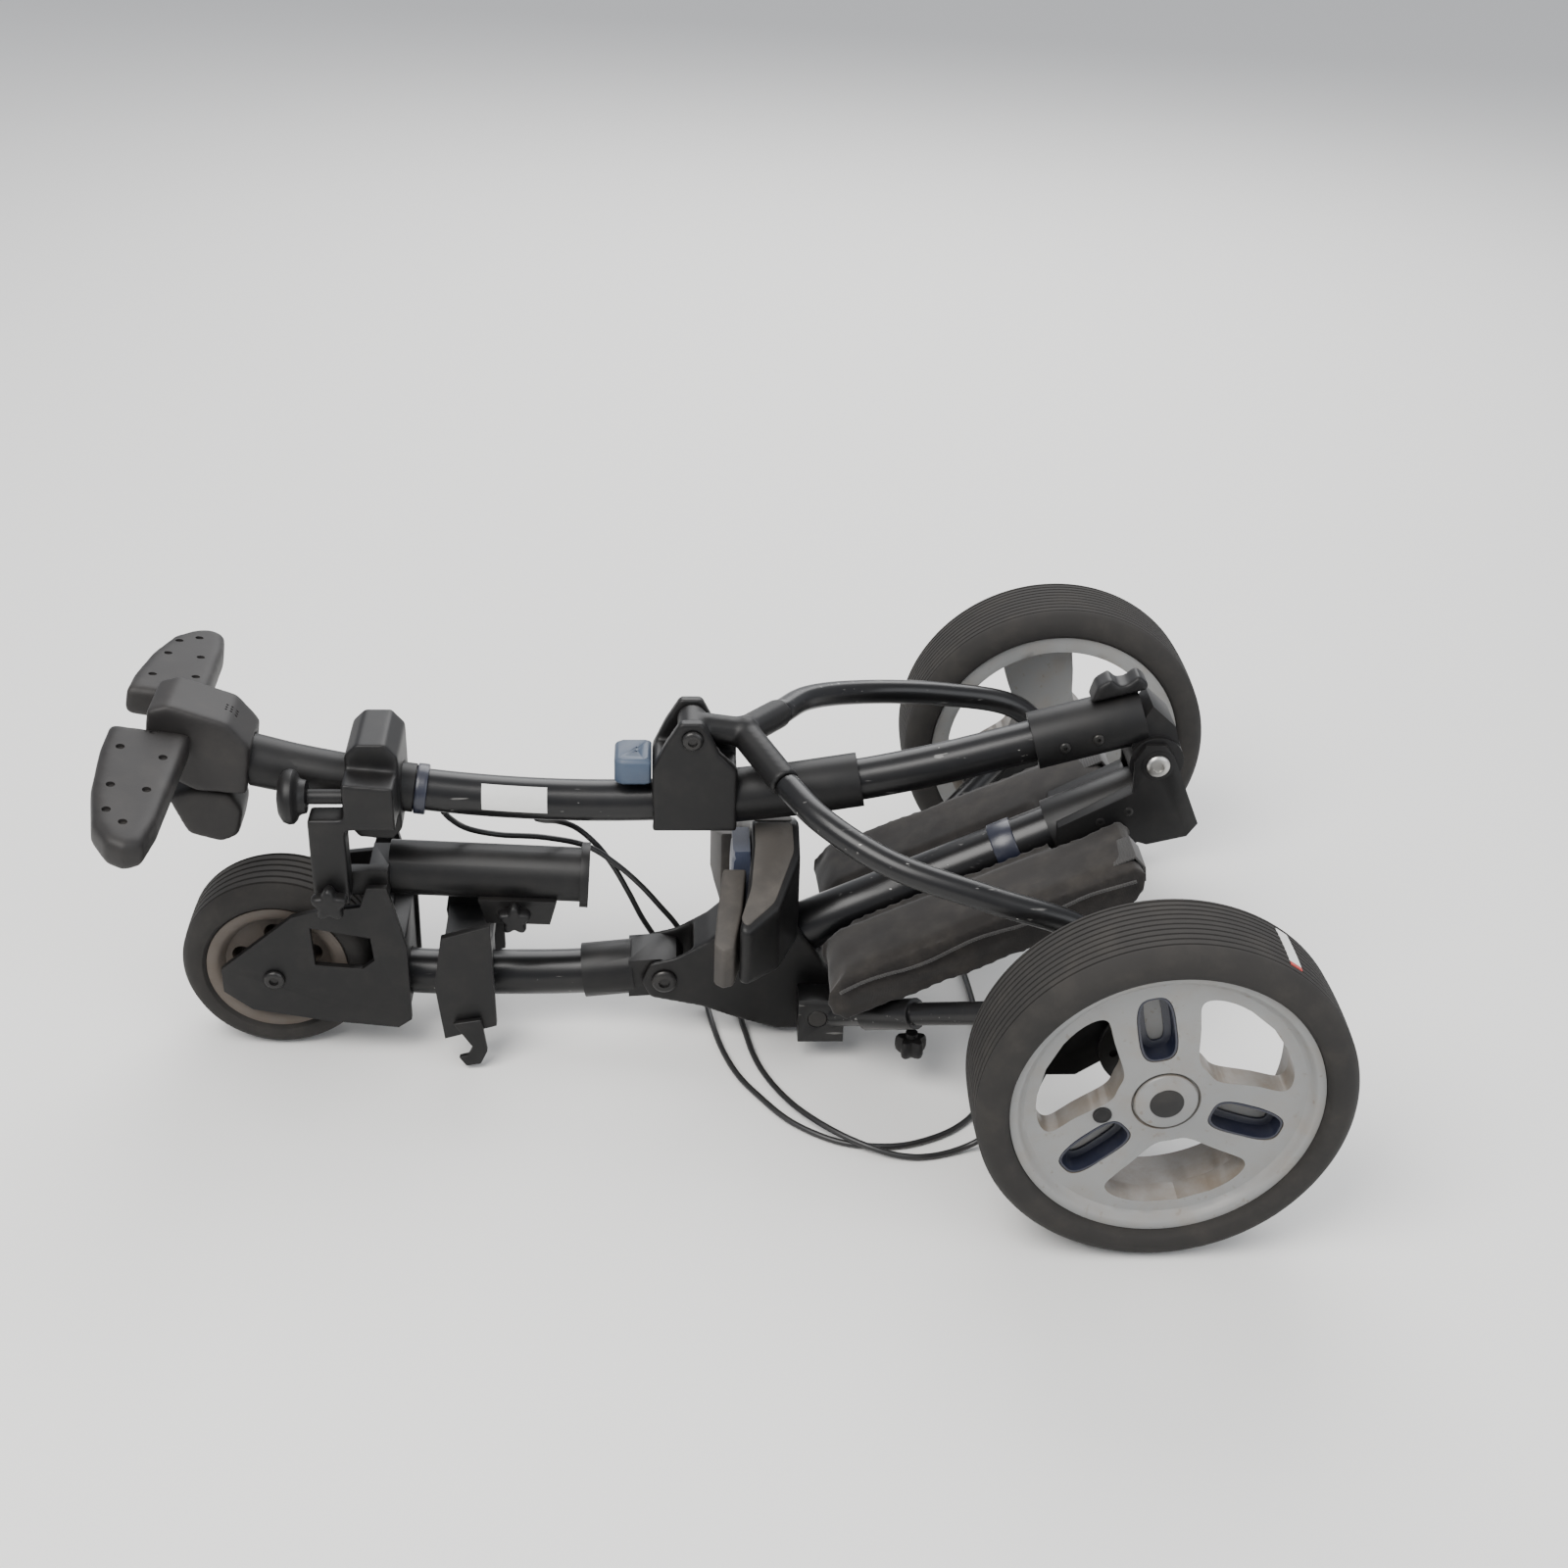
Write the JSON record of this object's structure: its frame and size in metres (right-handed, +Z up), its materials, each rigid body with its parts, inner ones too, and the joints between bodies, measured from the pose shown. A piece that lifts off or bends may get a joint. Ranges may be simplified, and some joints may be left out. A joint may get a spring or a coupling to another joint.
{
  "type": "golf bag on push cart",
  "caption": "Folding three-wheel golf push trolley, folded, with curved handle, bag cradles, umbrella tube and an accessory pouch.",
  "frame": {"origin": "on the ground below the middle of the folded trolley's box", "axes": "+X along the trolley from the handle to the rear wheels, +Y across it to the far wheel, +Z up"},
  "size_m": [0.9317, 0.612, 0.34],
  "materials": {
    "frame_black": "satin",
    "plastic_black": "fine grain",
    "cable_black": "smooth sheath",
    "steel": "brushed",
    "grip_grey": "soft touch",
    "pad_brown": "embossed",
    "elastic_blue": "woven elastic",
    "pouch_fabric": "coated polyester weave",
    "rim_grey": "satin, dusty",
    "tyre_rubber": "ribbed foam rubber",
    "navy_plastic": "satin",
    "slate_plastic": "satin"
  },
  "bodies": {
    "lower_frame": {"main_tube": "frame_black", "lower_knuckle": "plastic_black", "fold_bolt": "steel", "hub_casting": "plastic_black", "leg_pivot_bolt": "steel", "cradle_shell": "plastic_black", "cradle_pad_near": "pad_brown", "cradle_pad_far": "pad_brown", "cradle_elastic": "elastic_blue", "accessory_pouch": "pouch_fabric", "cable_near": "cable_black", "cable_far": "cable_black"},
    "front_leg": {"front_leg_tube": "frame_black", "front_leg_socket": "plastic_black", "fork_plate_near": "plastic_black", "fork_plate_far": "plastic_black", "fork_bridge": "plastic_black", "front_axle": "steel", "strap_bracket": "pad_brown"},
    "strap_hook": {"strap_hook": "plastic_black"},
    "front_wheel": {"front_rim": "rim_grey", "front_tyre": "tyre_rubber"},
    "upper_shaft": {"upper_tube": "frame_black", "upper_knuckle": "plastic_black"},
    "shaft_latch": {"shaft_latch": "plastic_black"},
    "handle": {"handle_stem": "plastic_black", "handle_console": "grip_grey", "grip_near": "grip_grey", "grip_far": "grip_grey", "accessory_clamp": "plastic_black"},
    "brake_lever": {"brake_lever": "plastic_black"},
    "clamp_knob": {"clamp_knob": "plastic_black"},
    "umbrella_holder": {"umbrella_holder": "navy_plastic"},
    "umbrella_knob": {"umbrella_knob": "plastic_black"},
    "post_knob": {"post_knob": "plastic_black"},
    "slider": {"slider_sleeve": "plastic_black", "slider_housing": "plastic_black", "yoke_pin": "steel"},
    "release_button": {"release_button": "slate_plastic"},
    "rear_legs": {"leg_yoke": "plastic_black", "rear_leg_near": "frame_black", "rear_leg_far": "frame_black"},
    "rear_struts": {"strut_cross_tube": "steel", "strut_near": "frame_black", "strut_far": "frame_black", "axle_carrier_near": "plastic_black", "axle_carrier_far": "plastic_black"},
    "strut_knob": {"strut_knob": "plastic_black"},
    "rear_wheel_near": {"rear_rim_near": "rim_grey", "rear_spokes_near": "rim_grey", "rear_tyre_near": "tyre_rubber", "hub_cap_near": "navy_plastic", "brake_disc_near": "steel"},
    "rear_wheel_far": {"rear_rim_far": "rim_grey", "rear_spokes_far": "rim_grey", "rear_tyre_far": "tyre_rubber", "hub_cap_far": "navy_plastic", "brake_disc_far": "steel"}
  },
  "joints": [
    {"name": "fold", "type": "hinge", "parent": "lower_frame", "child": "upper_shaft", "pos_m": [0.3569, 0, 0.27], "axis": [0, 1, 0], "range_deg": [0, 168.6], "deforming": ["cable_near", "cable_far"]},
    {"name": "slider_travel", "type": "hinge", "parent": "upper_shaft", "child": "slider", "pos_m": [-0.0821, 0, 1.281], "axis": [0, -1, 0], "range_deg": [0, 7.2]},
    {"name": "leg_swing", "type": "hinge", "parent": "slider", "child": "rear_legs", "pos_m": [-0.0141, 0, 0.29], "axis": [0, -1, 0], "range_deg": [0, 50]},
    {"name": "strut_swing", "type": "hinge", "parent": "lower_frame", "child": "rear_struts", "pos_m": [0.0909, 0, 0.045], "axis": [0, 1, 0], "range_deg": [0, 27]},
    {"name": "front_leg_swing", "type": "hinge", "parent": "lower_frame", "child": "front_leg", "pos_m": [-0.0361, 0, 0.06], "axis": [0, 1, 0], "range_deg": [0, 12.1]},
    {"name": "handle_reach", "type": "hinge", "parent": "upper_shaft", "child": "handle", "pos_m": [-0.0821, 0, 1.281], "axis": [0, 1, 0], "range_deg": [0, 2.4]},
    {"name": "brake_lever_pull", "type": "hinge", "parent": "handle", "child": "brake_lever", "pos_m": [-0.3781, 0, 0.236], "axis": [0, -1, 0], "range_deg": [0, 22], "stiffness_Nm_per_rad": 0.6, "springref_deg": -14.32},
    {"name": "latch_lift", "type": "hinge", "parent": "upper_shaft", "child": "shaft_latch", "pos_m": [0.3459, 0, 0.326], "axis": [0, 1, 0], "range_deg": [0, 35]},
    {"name": "button_press", "type": "slide", "parent": "slider", "child": "release_button", "axis": [0, 0, -1], "range_m": [0, 0.004], "stiffness_N_per_m": 600, "springref_m": -0.002},
    {"name": "clamp_knob_turn", "type": "hinge", "parent": "handle", "child": "clamp_knob", "pos_m": [-0.3141, -0.046, 0.251], "axis": [1, 0, 0], "continuous": true},
    {"name": "umbrella_tilt", "type": "hinge", "parent": "handle", "child": "umbrella_holder", "pos_m": [-0.3001, 0, 0.163], "axis": [0, 1, 0], "range_deg": [0, 7.5]},
    {"name": "umbrella_knob_turn", "type": "hinge", "parent": "umbrella_holder", "child": "umbrella_knob", "pos_m": [-0.1581, -0.036, 0.13], "axis": [0, 1, 0], "continuous": true},
    {"name": "post_knob_turn", "type": "hinge", "parent": "handle", "child": "post_knob", "pos_m": [-0.3001, -0.068, 0.166], "axis": [0, 1, 0], "continuous": true},
    {"name": "strut_knob_turn", "type": "hinge", "parent": "rear_struts", "child": "strut_knob", "pos_m": [0.1659, -0.092, 0.042], "axis": [0, 0, 1], "continuous": true},
    {"name": "strap_hook_swing", "type": "hinge", "parent": "front_leg", "child": "strap_hook", "pos_m": [-0.1981, -0.063, 0.046], "axis": [0, 1, 0], "range_deg": [-15, 25]},
    {"name": "front_wheel_spin", "type": "hinge", "parent": "front_leg", "child": "front_wheel", "pos_m": [-0.3541, 0, 0.0784], "axis": [0, 1, 0], "continuous": true},
    {"name": "rear_wheel_near_spin", "type": "hinge", "parent": "rear_struts", "child": "rear_wheel_near", "pos_m": [0.3259, -0.266, 0.14], "axis": [0, 1, 0], "continuous": true},
    {"name": "rear_wheel_far_spin", "type": "hinge", "parent": "rear_struts", "child": "rear_wheel_far", "pos_m": [0.3259, 0.266, 0.14], "axis": [0, 1, 0], "continuous": true}
  ],
  "couplings": [
    {"joint": "slider_travel", "follows": "fold", "ratio": 0.042028},
    {"joint": "leg_swing", "follows": "fold", "ratio": 0.29569},
    {"joint": "strut_swing", "follows": "fold", "ratio": 0.15955},
    {"joint": "front_leg_swing", "follows": "fold", "ratio": 0.071174}
  ]
}
